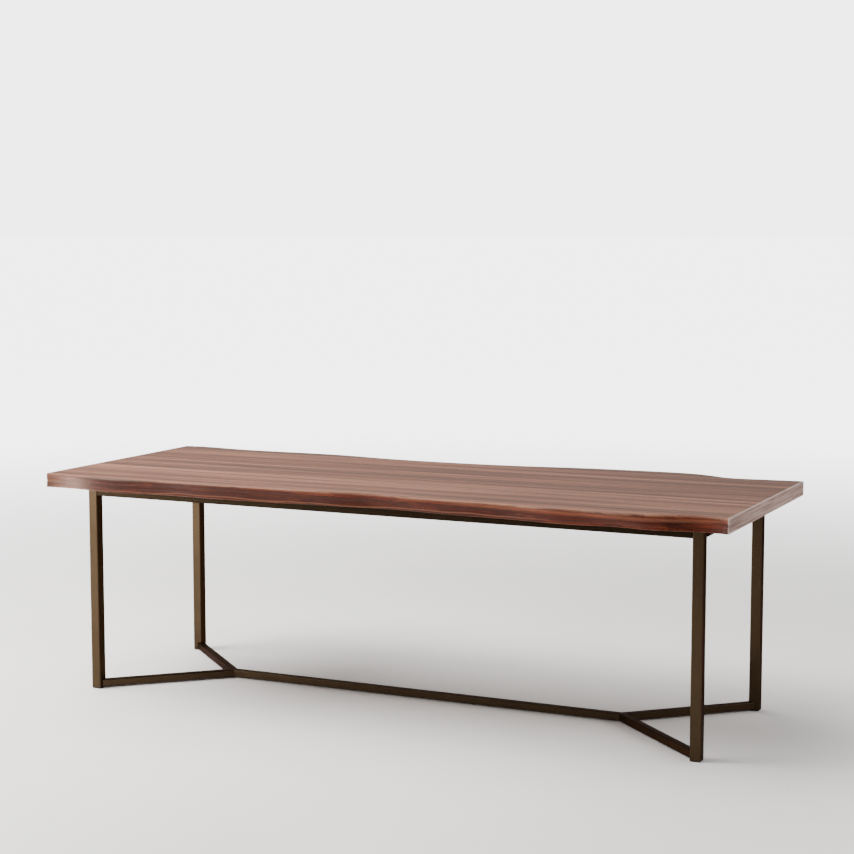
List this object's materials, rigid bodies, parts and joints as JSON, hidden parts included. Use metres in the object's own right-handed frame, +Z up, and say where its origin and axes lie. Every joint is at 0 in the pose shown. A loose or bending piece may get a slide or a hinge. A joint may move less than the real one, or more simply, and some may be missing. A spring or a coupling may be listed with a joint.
{
  "type": "butcher block table",
  "caption": "Long dining table: thick top of edge-glued walnut boards with natural wavy long edges, on a slim bronze square-tube steel base with low Y-shaped braces.",
  "frame": {"origin": "on the floor under the centre of the top", "axes": "+X along the table, +Y from the front edge to the back edge, +Z up"},
  "size_m": [2.4, 0.97, 0.762],
  "materials": {
    "walnut": "satin clear lacquer over walnut",
    "bronze_steel": "satin dark bronze powder coat",
    "black_plastic": "matt moulded black",
    "zinc_steel": "zinc plated",
    "brass_insert": "turned"
  },
  "bodies": {
    "root": {"centre_rail": "bronze_steel", "end_rail_left": "bronze_steel", "end_rail_right": "bronze_steel", "foot_glide_back_left": "black_plastic", "foot_glide_back_right": "black_plastic", "foot_glide_front_left": "black_plastic", "foot_glide_front_right": "black_plastic", "leg_back_left": "bronze_steel", "leg_back_right": "bronze_steel", "leg_cap_back_left": "bronze_steel", "leg_cap_back_right": "bronze_steel", "leg_cap_front_left": "bronze_steel", "leg_cap_front_right": "bronze_steel", "leg_front_left": "bronze_steel", "leg_front_right": "bronze_steel", "live_edge_board_back": "walnut", "live_edge_board_front": "walnut", "low_brace_back_left": "bronze_steel", "low_brace_back_right": "bronze_steel", "low_brace_front_left": "bronze_steel", "low_brace_front_right": "bronze_steel", "low_stretcher": "bronze_steel", "tabs_back_rail": "bronze_steel", "tabs_centre_rail": "bronze_steel", "tabs_front_rail": "bronze_steel", "tabs_left_rail": "bronze_steel", "tabs_right_rail": "bronze_steel", "threaded_inserts": "brass_insert", "top_board_1": "walnut", "top_board_2": "walnut", "top_board_3": "walnut", "top_board_4": "walnut", "top_board_5": "walnut", "top_board_6": "walnut", "top_rail_back": "bronze_steel", "top_rail_front": "bronze_steel", "top_screws": "zinc_steel", "top_washers": "zinc_steel"}
  },
  "joints": []
}
